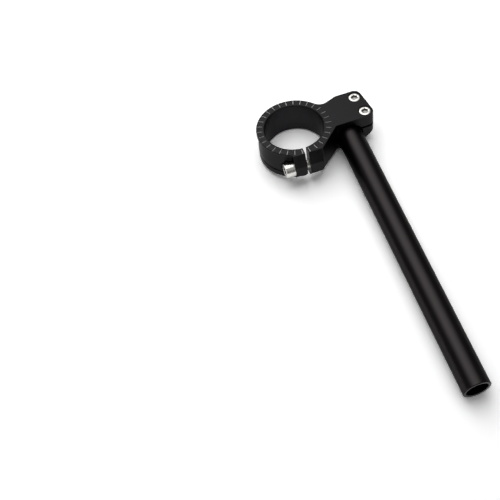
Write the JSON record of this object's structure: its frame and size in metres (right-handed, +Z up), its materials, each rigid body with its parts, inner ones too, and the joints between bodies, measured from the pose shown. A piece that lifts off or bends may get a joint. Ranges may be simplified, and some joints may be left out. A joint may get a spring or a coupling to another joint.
{
  "type": "clip on handlebar",
  "caption": "Split clamp ring for a fork leg with a flared arm whose slotted jaws grip a drooped straight handlebar tube.",
  "frame": {"origin": "on the fork axis, at the middle of the clamp's height", "axes": "+Z up along the fork axis, +X out along the arm towards the bar, -Y along the bar towards the rider's end"},
  "size_m": [0.1002, 0.2926, 0.0543],
  "materials": {
    "clamp_anodised": "satin black anodised, machined",
    "tube_anodised": "satin black anodised tube",
    "bright_screw": "bright steel"
  },
  "bodies": {
    "root": {"fork_clamp": "clamp_anodised", "handlebar_tube": "tube_anodised", "fork_pinch_bolt": "bright_screw", "front_jaw_screw": "bright_screw", "rear_jaw_screw": "bright_screw"}
  },
  "joints": []
}
